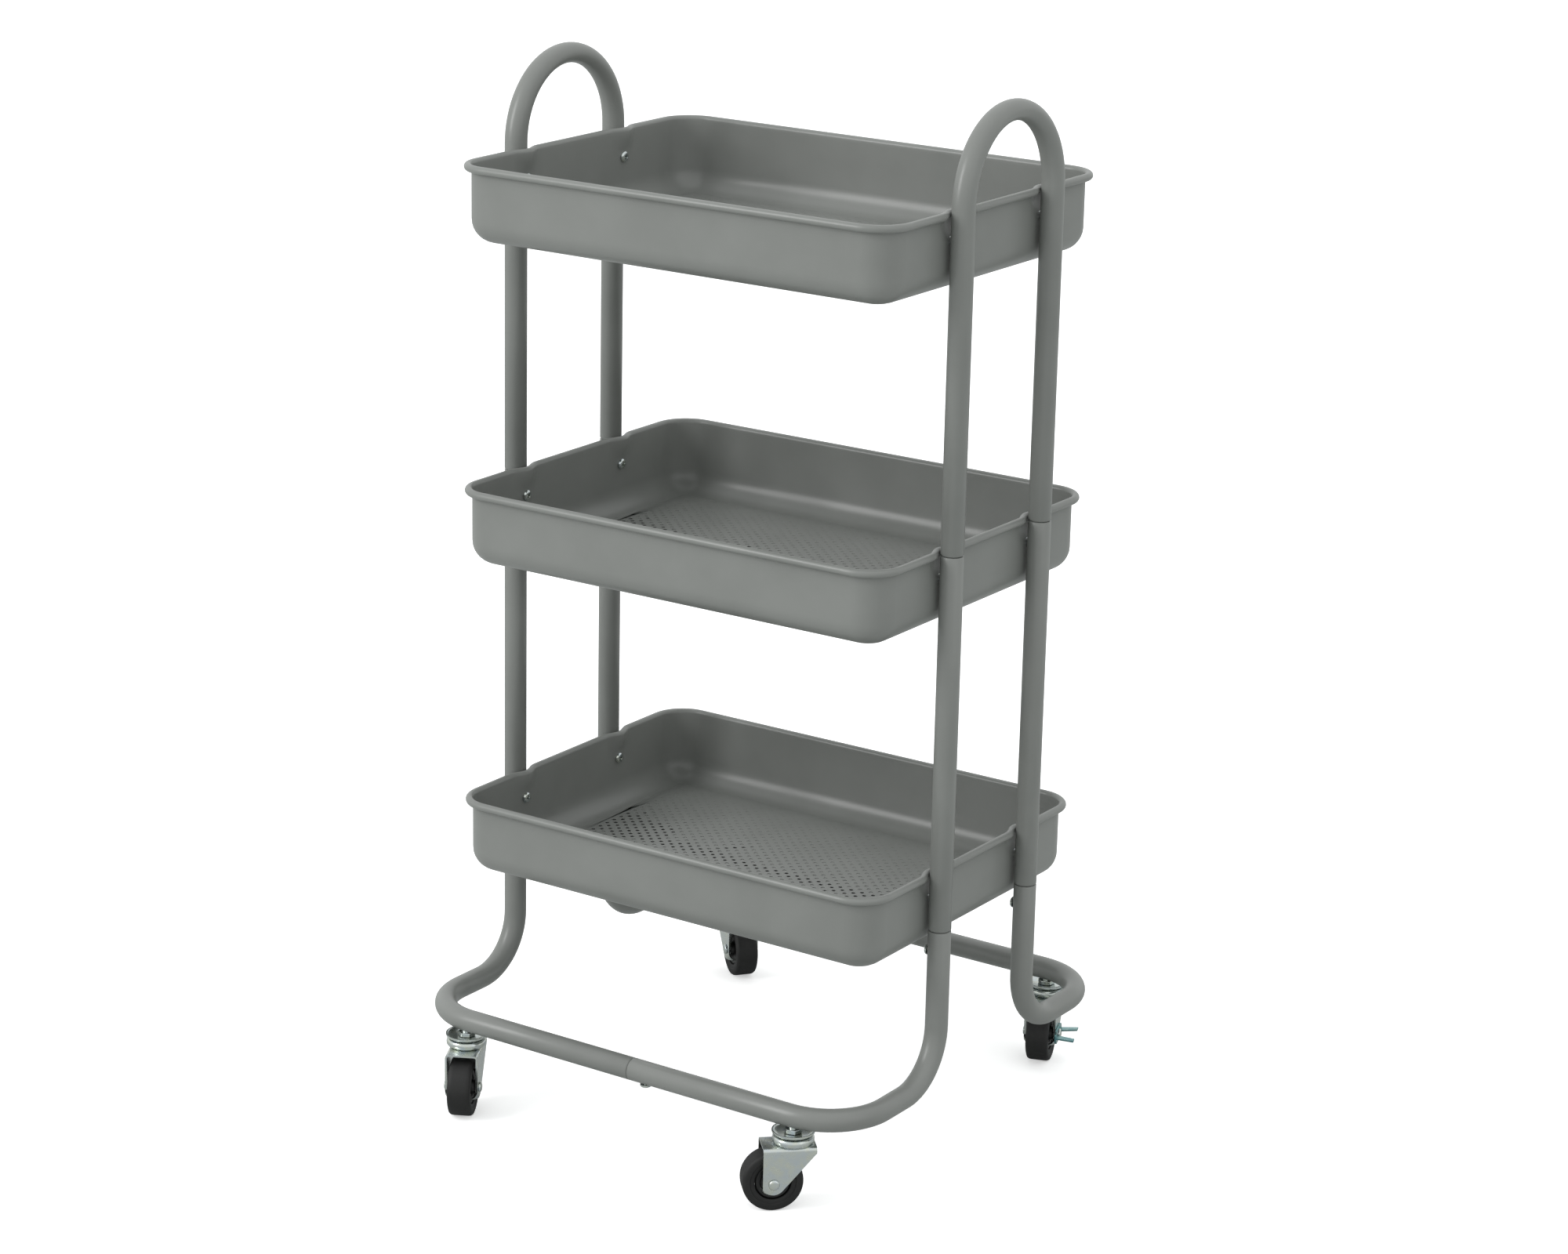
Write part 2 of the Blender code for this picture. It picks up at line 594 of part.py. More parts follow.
def main():
    """Build the whole cart."""
    clear_scene()
    paint = make_material("grey_powder_coat", (0.235, 0.235, 0.215), 0.0, 0.42)
    zinc = make_material("zinc_plate", (0.62, 0.64, 0.64), 1.0, 0.32)
    rubber = make_material("black_rubber", (0.018, 0.018, 0.018), 0.0, 0.65)
    plastic = make_material("black_plastic", (0.022, 0.022, 0.022), 0.0, 0.5)
    tray = tray_mesh(paint)
    for name, rim_z in zip(TRAY_NAMES, RIMS_Z):
        add_object(name, tray, (0, 0, rim_z))
    build_frame(paint, zinc)
    build_casters(zinc, rubber, plastic)
    bpy.context.view_layer.update()


main()
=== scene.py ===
# %% [markdown]
# # A rolling utility cart
# The cart is three drawn steel trays hung between two bent tube end frames on four swivel casters.
# The bare frame is loaded first. It already holds every part at its true size and place, so each
# finer piece below reads its place from the frame and then stands in for the plain part.

# %% Load the frame
import math

import bmesh
import bpy
from mathutils import Matrix, Vector


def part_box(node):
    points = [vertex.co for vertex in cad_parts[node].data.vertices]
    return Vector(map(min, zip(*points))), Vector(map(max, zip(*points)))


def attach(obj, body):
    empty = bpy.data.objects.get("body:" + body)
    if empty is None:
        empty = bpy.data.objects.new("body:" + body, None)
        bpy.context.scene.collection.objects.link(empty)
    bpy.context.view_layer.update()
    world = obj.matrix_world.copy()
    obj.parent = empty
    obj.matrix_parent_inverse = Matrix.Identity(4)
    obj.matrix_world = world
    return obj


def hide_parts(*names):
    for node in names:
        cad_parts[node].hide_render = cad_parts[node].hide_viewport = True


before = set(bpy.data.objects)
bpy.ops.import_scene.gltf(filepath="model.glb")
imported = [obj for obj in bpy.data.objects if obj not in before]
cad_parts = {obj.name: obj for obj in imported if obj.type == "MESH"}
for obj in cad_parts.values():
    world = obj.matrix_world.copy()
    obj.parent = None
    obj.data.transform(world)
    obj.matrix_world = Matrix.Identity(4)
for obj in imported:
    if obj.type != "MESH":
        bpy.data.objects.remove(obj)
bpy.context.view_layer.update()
MM = 0.001
print("parts in the frame:", len(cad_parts))

# %% [markdown]
# ## Helpers for modelling by hand
# Every piece is made as a person would make it: add a primitive, open it in edit mode, select some
# of it, and extrude, spin, inset or bevel what is selected. An operator acts on all that is
# selected, so each piece starts with nothing selected. Elements are picked by where they are.

# %% Start and close a piece
ZERO = (0, 0, 0)


def only(*objects):
    """Select these objects and nothing else, the first one active."""
    if bpy.context.object and bpy.context.object.mode == "EDIT":
        bpy.ops.object.mode_set(mode="OBJECT")
    bpy.ops.object.select_all(action="DESELECT")
    for obj in objects:
        obj.select_set(True)
    bpy.context.view_layer.objects.active = objects[0] if objects else None


def begin(name):
    """Take the primitive just added, settle its place into its mesh and open it, all selected."""
    obj = bpy.context.object
    obj.name = name
    obj.data.name = name
    bpy.ops.object.transform_apply(location=True, rotation=True, scale=True)
    bpy.ops.object.mode_set(mode="EDIT")
    bpy.ops.mesh.select_mode(type="VERT")
    bpy.ops.mesh.select_all(action="SELECT")
    return obj


def close(weld=0.01 * MM, smooth=40):
    """Weld, turn every face outwards, shade smooth up to an angle and leave edit mode."""
    bpy.ops.mesh.select_all(action="SELECT")
    bpy.ops.mesh.remove_doubles(threshold=weld)
    bpy.ops.mesh.normals_make_consistent(inside=False)
    bpy.ops.object.mode_set(mode="OBJECT")
    bpy.ops.object.shade_smooth_by_angle(angle=math.radians(smooth))


def pick(kind, test, facing=None):
    """In edit mode, select only the VERT, EDGE or FACE items whose every corner passes the test."""
    bpy.ops.mesh.select_mode(type=kind)
    bpy.ops.mesh.select_all(action="DESELECT")
    mesh = bmesh.from_edit_mesh(bpy.context.object.data)
    for item in {"VERT": mesh.verts, "EDGE": mesh.edges, "FACE": mesh.faces}[kind]:
        corners = [item] if kind == "VERT" else item.verts
        if facing and item.normal.dot(Vector(facing)) < 0.9:
            continue
        if all(test(corner.co) for corner in corners):
            item.select_set(True)
    mesh.select_flush_mode()
    bmesh.update_edit_mesh(bpy.context.object.data)


# %% Push, swell and bend what is selected
def push(x=0.0, y=0.0, z=0.0):
    """Extrude what is selected by this far."""
    bpy.ops.mesh.extrude_region_move(TRANSFORM_OT_translate={"value": (x, y, z)})


def scale(factors, about):
    """Scale what is selected about a point."""
    bpy.ops.transform.resize(value=factors, center_override=about)


def bend(degrees, centre, axis, steps):
    """Spin what is selected about an axis, by the right-hand rule."""
    bpy.ops.mesh.spin(steps=steps, angle=-math.radians(degrees), center=centre, axis=axis)


def middle():
    """The middle of what is selected."""
    mesh = bmesh.from_edit_mesh(bpy.context.object.data)
    chosen = [corner.co for corner in mesh.verts if corner.select]
    return sum(chosen, Vector()) / len(chosen)


# %% Modifiers, copies and joins
def use(obj, kind, **settings):
    """Add a modifier with its settings and apply it."""
    only(obj)
    modifier = obj.modifiers.new(kind.title(), kind)
    for key, value in settings.items():
        setattr(modifier, key, value)
    bpy.ops.object.modifier_apply(modifier=modifier.name)


def soften(obj, width, segments=2, angle=40):
    """Round the sharp edges a little, as a press or a mould leaves them."""
    use(obj, "BEVEL", width=width, segments=segments, limit_method="ANGLE", angle_limit=math.radians(angle))
    bpy.ops.object.shade_smooth_by_angle(angle=math.radians(40))


def combine(obj, tool, operation):
    """Join, cut or trim a piece with another one, which is used up."""
    use(obj, "BOOLEAN", operation=operation, object=tool, solver="EXACT")
    bpy.data.objects.remove(tool, do_unlink=True)
    bpy.ops.object.shade_smooth_by_angle(angle=math.radians(40))


def copy(obj, name, matrix):
    """Copy a piece with its own mesh, move the copy, and settle its place into its mesh."""
    twin = obj.copy()
    twin.data = obj.data.copy()
    twin.name = name
    twin.data.name = name
    bpy.context.collection.objects.link(twin)
    twin.matrix_world = matrix
    only(twin)
    bpy.ops.object.transform_apply(location=True, rotation=True, scale=True)
    return twin


def turned(name, outline, sides, ring=False):
    """Turn an outline of (radius, height) in mm about the Z axis, one extrusion for each step."""
    only()
    radius, height = outline[0]
    bpy.ops.mesh.primitive_circle_add(vertices=sides, radius=radius * MM, location=(0, 0, height * MM))
    obj = begin(name)
    for next_radius, next_height in outline[1:] + (outline[:1] if ring else []):
        push(z=(next_height - height) * MM)
        scale((next_radius / radius, next_radius / radius, 1), ZERO)
        radius, height = next_radius, next_height
    if ring:
        bpy.ops.mesh.select_all(action="SELECT")
        bpy.ops.mesh.remove_doubles(threshold=0.01 * MM)
    else:
        bpy.ops.mesh.select_all(action="SELECT")
        bpy.ops.mesh.fill_holes(sides=sides)
    close()
    return obj


# %% [markdown]
# ## Finishes
# Colours are sRGB hex values, as a paint card gives them, and one function makes them linear. A
# pattern's size is given in millimetres: a noise of scale S has features about 1 / S metres wide.

# %% Colour and node helpers
def linear(text):
    """An sRGB hex colour as linear red, green, blue and alpha."""
    parts = [int(text[i : i + 2], 16) / 255 for i in (1, 3, 5)]
    return (*[p / 12.92 if p <= 0.04045 else ((p + 0.055) / 1.055) ** 2.4 for p in parts], 1.0)


def add(tree, kind, settings=None, **links):
    """Add a node. Settings go to its properties or sockets, and links bring in other nodes' outputs."""
    node = tree.nodes.new(kind)
    for key, value in (settings or {}).items():
        if key in node.inputs:
            node.inputs[key].default_value = value
        else:
            setattr(node, key, value)
    for key, output in links.items():
        tree.links.new(output, node.inputs[key.replace("_", " ")])
    return node


def new_finish(name):
    """A new material, with its tree, its shader and the place on the piece in metres."""
    material = bpy.data.materials.new(name)
    material.use_nodes = True
    tree = material.node_tree
    shader = tree.nodes["Principled BSDF"]
    place = tree.nodes.new("ShaderNodeTexCoord").outputs["Object"]
    return material, tree, shader, place


def noise(tree, place, size_mm, detail=2.0, roughness=0.5):
    """Noise whose features are about this many millimetres wide."""
    settings = {"Scale": 1000 / size_mm, "Detail": detail, "Roughness": roughness}
    return add(tree, "ShaderNodeTexNoise", settings, Vector=place).outputs["Fac"]


def ramp(tree, value, low, high, start=0.35, end=0.65):
    """Turn a 0 to 1 value into a colour between two hex colours."""
    node = add(tree, "ShaderNodeValToRGB", Fac=value)
    node.color_ramp.elements[0].position = start
    node.color_ramp.elements[0].color = linear(low)
    node.color_ramp.elements[1].position = end
    node.color_ramp.elements[1].color = linear(high)
    return node.outputs["Color"]


def between(tree, value, low, high):
    """Stretch a 0 to 1 value to lie between two numbers."""
    return add(tree, "ShaderNodeMapRange", {"To Min": low, "To Max": high}, Value=value).outputs["Result"]


# %% [markdown]
# ### Powder coat on mild steel
# The trays and tubes are sprayed with dry epoxy-polyester powder and baked. That gives a warm grey
# satin skin with a fine orange peel: shallow bumps a millimetre or two across, which break up the
# highlights. The peel is drawn with two noises, one coarse and one fine, as a bump.

# %% Powder coat
def powder_coat(name, dark, light):
    material, tree, shader, place = new_finish(name)
    cloudy = noise(tree, place, 60, 3.0)
    tree.links.new(ramp(tree, cloudy, dark, light), shader.inputs["Base Color"])
    grain = noise(tree, place, 0.9, 2.0)
    tree.links.new(between(tree, grain, 0.27, 0.4), shader.inputs["Roughness"])
    shader.inputs["IOR"].default_value = 1.5
    swell_noise = noise(tree, place, 1.8, 1.0)
    peel = add(tree, "ShaderNodeBump", {"Strength": 0.12, "Distance": 0.06 * MM}, Height=swell_noise)
    fine = add(tree, "ShaderNodeBump", {"Strength": 0.1, "Distance": 0.02 * MM}, Height=grain)
    tree.links.new(peel.outputs["Normal"], fine.inputs["Normal"])
    tree.links.new(fine.outputs["Normal"], shader.inputs["Normal"])
    return material


coat = powder_coat("warm_grey_powder_coat", "#7d7f7c", "#828481")
print("finish:", coat.name)

# %% [markdown]
# ### Bright zinc plate
# The casters and screws are steel with bright zinc and a clear passivation. The metal is pale and
# slightly blue with faint yellow-green patches, and it is neither mirror-bright nor even: a soft
# mottle about 6 mm across moves the roughness up and down. The brake lever had a bluer bath.

# %% Zinc plate
def zinc_plate(name, cool, warm, low=0.16, high=0.34):
    material, tree, shader, place = new_finish(name)
    mottle = noise(tree, place, 6, 3.0)
    tree.links.new(ramp(tree, mottle, cool, warm), shader.inputs["Base Color"])
    shader.inputs["Metallic"].default_value = 1.0
    tree.links.new(between(tree, noise(tree, place, 3, 4.0), low, high), shader.inputs["Roughness"])
    grain = noise(tree, place, 0.8, 2.0)
    bump = add(tree, "ShaderNodeBump", {"Strength": 0.15, "Distance": 0.03 * MM}, Height=grain)
    tree.links.new(bump.outputs["Normal"], shader.inputs["Normal"])
    return material


zinc = zinc_plate("bright_zinc_plate", "#c6cdd0", "#cdd1c8")
blue_zinc = zinc_plate("blue_zinc_plate", "#5f8f94", "#83a5a4")
print("finishes:", zinc.name, blue_zinc.name)

# %% [markdown]
# ### Moulded rubber and nylon
# The wheel is one black moulding to the eye. The tread is rubber, matt with a fine grain from the
# mould and a trace of dust in it. The hub is nylon, a touch smoother, so its ribs catch some light.

# %% Rubber and nylon
def moulded(name, dark, light, low, high, grain_mm):
    material, tree, shader, place = new_finish(name)
    tree.links.new(ramp(tree, noise(tree, place, 9, 4.0), dark, light), shader.inputs["Base Color"])
    grain = noise(tree, place, grain_mm, 3.0)
    tree.links.new(between(tree, grain, low, high), shader.inputs["Roughness"])
    bump = add(tree, "ShaderNodeBump", {"Strength": 0.25, "Distance": 0.05 * MM}, Height=grain)
    tree.links.new(bump.outputs["Normal"], shader.inputs["Normal"])
    return material


rubber = moulded("black_moulded_rubber", "#0c0c0c", "#141413", 0.5, 0.7, 0.7)
nylon = moulded("black_moulded_nylon", "#0b0b0c", "#131313", 0.38, 0.5, 1.1)
print("finishes:", rubber.name, nylon.name)


def dress(obj, material):
    """Give a piece its finish."""
    obj.data.materials.clear()
    obj.data.materials.append(material)


# %% [markdown]
# ## The trays
# A tray is one drawn sheet: a flat floor punched with small holes, a generous fillet, straight
# walls, and an edge curled outwards into a bead. The bead's profile is drawn as a circle with a gap.
# Extrusions and a quarter spin lead it down the wall and into the floor, and then the whole profile
# is extruded along each wall and spun round each corner. The sheet gets its thickness last.

# %% Tray sizes, read from the frame
tray_low, tray_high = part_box("top_tray")
leg_low, leg_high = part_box("upright_fr")
TUBE_R = (leg_high[0] - leg_low[0]) / 2
LEG_X = (leg_high[0] + leg_low[0]) / 2
LEG_Y = -(leg_high[1] + leg_low[1]) / 2
SHEET = 0.9 * MM
BEAD_R = 3.3 * MM
SKIN_X = tray_high[0] - 2 * BEAD_R                # inner face of the short walls
SKIN_Y = tray_high[1] - 2 * BEAD_R
CORNER_R = 25.6 * MM
FILLET_R = 19.1 * MM
FLOOR_STEP = 0.35 * MM                            # from the margin up to the punched field
FLOOR_Z = tray_low[2] + SHEET
RIM_Z = tray_high[2]
PRESS_REACH = 18 * MM                             # the rim is pressed in this far each way from a leg
PRESS_DEPTH = SKIN_X + 2 * BEAD_R - (LEG_X - TUBE_R) + 0.3 * MM
print(f"tray {2000 * tray_high[0]:.0f} x {2000 * tray_high[1]:.0f} mm, rim at {1000 * RIM_Z:.0f} mm")


# %% [markdown]
# The profile starts at the left end of the front wall. Going down the wall, a few extra edges near
# the rim are what the pressing by the legs needs to bend.

# %% Profile of the tray's wall
def wall_profile():
    x = -(SKIN_X - CORNER_R)
    bead_y = -(SKIN_Y + BEAD_R)
    only()
    bpy.ops.mesh.primitive_circle_add(
        vertices=24, radius=BEAD_R, location=(x, bead_y, RIM_Z - BEAD_R), rotation=(0, math.pi / 2, 0)
    )
    obj = begin("top_tray_sheet")
    inner = bead_y + BEAD_R
    pick("VERT", lambda p: p.y > inner - 0.3 * MM and RIM_Z - 5 * MM < p.z < RIM_Z - BEAD_R - 0.1 * MM)
    bpy.ops.mesh.delete(type="VERT")
    pick("VERT", lambda p: p.y > inner - 0.01 * MM)
    for step in (3, 5, 6, 8):
        push(z=-step * MM)
    push(z=FLOOR_Z + FILLET_R - middle().z)
    bend(90, (x, inner + FILLET_R, FLOOR_Z + FILLET_R), (1, 0, 0), 8)
    return obj


tray = wall_profile()

# %% [markdown]
# A small step runs round the floor, 3 mm in from the fillet, and lifts the punched field a third of a
# millimetre above the plain margin. Then the profile travels round the tray.

# %% Sweep the profile round the tray
push(y=0.6 * MM)
push(y=0.9 * MM, z=FLOOR_STEP)
push(y=0.5 * MM)


def sweep_round():
    flat_x = SKIN_X - CORNER_R
    flat_y = SKIN_Y - CORNER_R
    fine = 3 * MM
    stations = [-LEG_Y - PRESS_REACH + fine * i for i in range(13)]
    stations += [LEG_Y - PRESS_REACH + fine * i for i in range(13)] + [flat_y]
    bpy.ops.mesh.select_all(action="SELECT")
    for sx, sy in ((1, -1), (-1, 1)):
        push(x=2 * flat_x * sx)
        bend(90, (flat_x * sx, flat_y * sy, 0), (0, 0, 1), 10)
        y = -flat_y
        for station in stations:
            push(y=(station - y) * sx)
            y = station
        bend(90, (flat_x * sx, -flat_y * sy, 0), (0, 0, 1), 10)
    bpy.ops.mesh.select_all(action="SELECT")
    bpy.ops.mesh.remove_doubles(threshold=0.02 * MM)


sweep_round()

# %% [markdown]
# The bead would run into the four legs, so the real rim is pressed in beside each one. Moving the
# bead there with proportional editing gives the same soft dent, along the rim and down the wall.

# %% Press the rim in at the legs
for sx in (-1, 1):
    for sy in (-1, 1):
        pick(
            "VERT",
            lambda p: p.x * sx > SKIN_X - MM and abs(p.y - sy * LEG_Y) < MM and p.z > RIM_Z - 2.2 * BEAD_R,
        )
        bpy.ops.transform.translate(
            value=(-sx * PRESS_DEPTH, 0, 0),
            use_proportional_edit=True,
            proportional_edit_falloff="SMOOTH",
            proportional_size=PRESS_REACH,
        )
print("wall of the tray:", len(tray.data.vertices), "corners before the floor")
bpy.ops.object.mode_set(mode="OBJECT")

# %% [markdown]
# The floor is punched with 3.2 mm holes in rows that lean both ways. A grid of small cells does it:
# every second cell, like the black squares of a chessboard, gets an inset square, its corners are
# cut to make an eight-sided hole, and the hole is emptied.

# %% Punched floor
PITCH_X = 11.3 * MM
PITCH_Y = 10.4 * MM
FIELD_X = 357 * MM
FIELD_Y = 272 * MM
HOLE = 3.2 * MM
SEEN_SHEET = 0.45 * MM                            # thin, so that light comes up through the holes


def punched_floor(height):
    cells_x = 2 * round(FIELD_X / PITCH_X) + 1
    cells_y = 2 * round(FIELD_Y / PITCH_Y) + 1
    only()
    bpy.ops.mesh.primitive_grid_add(
        x_subdivisions=cells_x, y_subdivisions=cells_y, size=1, location=(0, 0, height)
    )
    bpy.context.object.scale = (FIELD_X, FIELD_Y, 1)
    obj = begin("tray_floor")
    bpy.ops.mesh.select_mode(type="FACE")
    bpy.ops.mesh.select_all(action="DESELECT")
    mesh = bmesh.from_edit_mesh(obj.data)
    for face in mesh.faces:
        centre = face.calc_center_median()
        column = math.floor((centre.x / FIELD_X + 0.5) * cells_x)
        row = math.floor((centre.y / FIELD_Y + 0.5) * cells_y)
        face.select_set((column + row) % 2 == 0)
    bmesh.update_edit_mesh(obj.data)
    bpy.ops.mesh.inset(thickness=(PITCH_Y / 2 - HOLE) / 2, use_individual=True)
    bpy.ops.mesh.bevel(affect="VERTICES", offset=0.29 * HOLE, offset_type="OFFSET", segments=1)
    mesh = bmesh.from_edit_mesh(obj.data)
    for face in mesh.faces:
        face.select_set(len(face.verts) == 8)
    mesh.select_flush_mode()
    bmesh.update_edit_mesh(obj.data)
    bpy.ops.mesh.delete(type="FACE")
    bpy.ops.object.mode_set(mode="OBJECT")
    return obj


step_z = min(corner.co.z for corner in tray.data.vertices)
floor_height = step_z + FLOOR_STEP
floor = punched_floor(floor_height)
print("punched floor:", len(floor.data.polygons), "faces")

# %% [markdown]
# The floor and the wall are bridged across the plain margin, and the finished sheet is thickened
# downwards and outwards. The same sheet makes all three trays.

# %% Join floor and wall, thicken, copy
only(tray, floor)
bpy.ops.object.join()
bpy.ops.object.mode_set(mode="EDIT")
bpy.ops.mesh.select_mode(type="EDGE")
bpy.ops.mesh.select_all(action="DESELECT")
mesh = bmesh.from_edit_mesh(tray.data)
for edge in mesh.edges:
    low = all(abs(corner.co.z - floor_height) < 0.02 * MM for corner in edge.verts)
    wide = any(
        abs(abs(corner.co.x) - FIELD_X / 2) < 0.01 * MM or abs(abs(corner.co.y) - FIELD_Y / 2) < 0.01 * MM
        for corner in edge.verts
    )
    outer = all(
        abs(corner.co.x) > FIELD_X / 2 + 0.05 * MM or abs(corner.co.y) > FIELD_Y / 2 + 0.05 * MM
        for corner in edge.verts
    )
    edge.select_set(edge.is_boundary and low and (wide or outer))
bmesh.update_edit_mesh(tray.data)
bpy.ops.mesh.bridge_edge_loops()
bpy.ops.mesh.select_all(action="SELECT")
bpy.ops.mesh.normals_make_consistent(inside=False)
mesh = bmesh.from_edit_mesh(tray.data)
mesh.faces.ensure_lookup_table()
lowest = min(mesh.faces, key=lambda face: face.calc_center_median().z)
if lowest.normal.z < 0:
    bpy.ops.mesh.flip_normals()
bpy.ops.object.mode_set(mode="OBJECT")
use(tray, "SOLIDIFY", thickness=SEEN_SHEET, offset=-1, use_even_offset=False)
bpy.ops.object.shade_smooth_by_angle(angle=math.radians(35))
print("one tray:", sum(len(face.vertices) - 2 for face in tray.data.polygons), "triangles")

for level in ("top", "middle", "bottom"):
    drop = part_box(level + "_tray")[1][2] - RIM_Z
    sheet = copy(tray, level + "_tray_sheet", Matrix.Translation((0, 0, drop)))
    dress(sheet, coat)
    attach(sheet, "cart")
    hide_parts(level + "_tray")
bpy.data.objects.remove(tray, do_unlink=True)

# %% [markdown]
# ## The tube frame
# Each tube is a circle that is pushed along its straight runs and bent round its corners. Where two
# tubes meet, the upper one is drawn down to slip into the lower one, which leaves a fine ring-shaped
# groove, so each end is drawn in by a little.

# %% Tube ends
TUBE_SIDES = 32
SWAGE_R = 8.2 * MM
SHOULDER = 1.1 * MM
GAP = 0.3 * MM
LIP = 0.35 * MM


def tube_start(name, place, radius, turn=ZERO):
    only()
    bpy.ops.mesh.primitive_circle_add(vertices=TUBE_SIDES, radius=radius, location=place, rotation=turn)
    return begin(name)


def swell(radius, was):
    """Scale the open end from one radius to another."""
    scale((radius / was,) * 3, middle())


def step_out(direction, length, radius, was):
    """Extrude the open end along a direction and bring it to a new radius."""
    push(*[part * length for part in direction])
    swell(radius, was)


def cap_and_close():
    bpy.ops.mesh.select_all(action="SELECT")
    bpy.ops.mesh.fill_holes(sides=TUBE_SIDES)
    close(smooth=50)


def keep(obj, node, material, body):
    """Give a finished piece its finish, let it ride on a body and stand for a part of the frame."""
    dress(obj, material)
    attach(obj, body)
    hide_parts(node)


# %% [markdown]
# The handle arches are bent over a round former, which flattens the tube by about a tenth across
# the bend. The flattening grows with the sine of the angle, so it is greatest at the crown.

# %% Handle arches
arch_low, arch_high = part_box("handle_arch_right")
UPPER_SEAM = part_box("upright_fr")[1][2] + GAP
CROWN_FLATTEN = 0.1
SPRING_Z = arch_high[2] - LEG_Y - TUBE_R * (1 - CROWN_FLATTEN)


def handle_arch(name, x):
    obj = tube_start(name, (x, -LEG_Y, UPPER_SEAM), SWAGE_R)
    step_out((0, 0, 1), SHOULDER, TUBE_R, SWAGE_R)
    push(z=SPRING_Z - middle().z)
    bend(-180, (x, 0, SPRING_Z), (1, 0, 0), 40)
    push(z=UPPER_SEAM + SHOULDER - middle().z)
    step_out((0, 0, -1), SHOULDER, SWAGE_R, TUBE_R)
    cap_and_close()
    for corner in obj.data.vertices:
        y, z = corner.co.y, corner.co.z - SPRING_Z
        reach = math.hypot(y, z)
        if z > 0:
            share = (LEG_Y + (reach - LEG_Y) * (1 - CROWN_FLATTEN * z / reach)) / reach
            corner.co.y, corner.co.z = y * share, SPRING_Z + z * share
    return obj


for side, x in (("left", -LEG_X), ("right", LEG_X)):
    arch = handle_arch(f"handle_arch_{side}_tube", x)
    keep(arch, f"handle_arch_{side}", coat, "cart")
print("arches:", len(arch.data.vertices), "corners each")

# %% [markdown]
# An upright is straight, with a rounded mouth on top for the arch and a drawn-down end below.

# %% Uprights
LOWER_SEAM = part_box("base_tube_fr")[1][2] + GAP


def upright(name, x, y):
    tube_start(name, (x, y, LOWER_SEAM), SWAGE_R)
    step_out((0, 0, 1), SHOULDER, TUBE_R, SWAGE_R)
    push(z=UPPER_SEAM - GAP - LIP - middle().z)
    step_out((0, 0, 1), LIP, TUBE_R - LIP, TUBE_R)
    cap_and_close()
    return bpy.context.object


CORNERS = {"fl": (-1, -1), "fr": (1, -1), "bl": (-1, 1), "br": (1, 1)}
for corner, (sx, sy) in CORNERS.items():
    post = upright(f"upright_{corner}_tube", sx * LEG_X, sy * LEG_Y)
    keep(post, f"upright_{corner}", coat, "cart")

# %% [markdown]
# A base tube turns outwards from the leg, runs to the corner and turns again into the rail. In the
# middle of each rail the two tubes meet 7 mm off centre, again one inside the other.

# %% Base tubes
rail_low, rail_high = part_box("base_tube_fr")
RAIL_Z = rail_low[2] + TUBE_R
RAIL_Y = -(rail_low[1] + TUBE_R)
RAIL_SEAM = 7 * MM
BEND_DOWN = 48 * MM
BEND_CORNER = 54 * MM


def base_tube(name, sx, sy, inner_end):
    x, y = sx * LEG_X, sy * LEG_Y
    tube_start(name, (x, y, LOWER_SEAM - GAP), TUBE_R - LIP)
    step_out((0, 0, -1), LIP, TUBE_R, TUBE_R - LIP)
    push(z=RAIL_Z + BEND_DOWN - middle().z)
    bend(sy * 90, (x, y + sy * BEND_DOWN, RAIL_Z + BEND_DOWN), (1, 0, 0), 16)
    push(y=sy * (RAIL_Y - BEND_CORNER) - middle().y)
    bend(sx * sy * 90, (x - sx * BEND_CORNER, sy * (RAIL_Y - BEND_CORNER), 0), (0, 0, 1), 16)
    seam = -sy * RAIL_SEAM
    if inner_end:
        push(x=seam + sx * SHOULDER - middle().x)
        step_out((-sx, 0, 0), SHOULDER, SWAGE_R, TUBE_R)
    else:
        push(x=seam + sx * (GAP + LIP) - middle().x)
        step_out((-sx, 0, 0), LIP, TUBE_R - LIP, TUBE_R)
    cap_and_close()
    return bpy.context.object


for corner, (sx, sy) in CORNERS.items():
    tube = base_tube(f"base_tube_{corner}_bent", sx, sy, sx * sy > 0)
    keep(tube, f"base_tube_{corner}", coat, "cart")
print("base tubes:", len(tube.data.vertices), "corners each")

# %% [markdown]
# ## Screws
# The screws are zinc-plated pan heads with a cross recess. The head is turned, the cross is two thin
# wedges cut out of it, and every screw in the cart is a copy of this one.

# %% A pan-head screw
def cross_blade(turn):
    only()
    bpy.ops.mesh.primitive_cube_add(size=1, location=(0, 0, 2 * MM), rotation=(0, 0, turn))
    bpy.context.object.scale = (5.6 * MM, 1.3 * MM, 3 * MM)
    blade = begin("cross_blade")
    pick("FACE", lambda p: p.z < 1 * MM)
    scale((0.55, 0.55, 1), (0, 0, 0.6 * MM))
    bpy.ops.object.mode_set(mode="OBJECT")
    return blade


HEAD_HEIGHT = 2.6 * MM
screw_outline = [(1.9, -8.4), (1.9, 0), (4.7, 0), (4.8, 0.5), (4.7, 1.2), (4.2, 1.9), (3.2, 2.4), (1.6, 2.6)]
screw = turned("screw", screw_outline, 28)
combine(screw, cross_blade(0.3), "DIFFERENCE")
combine(screw, cross_blade(0.3 + math.pi / 2), "DIFFERENCE")
print("screw:", len(screw.data.polygons), "faces")


# %% [markdown]
# Each screw's place comes from the plain screw in the frame: the middle of its box, and the
# direction in which its head points.

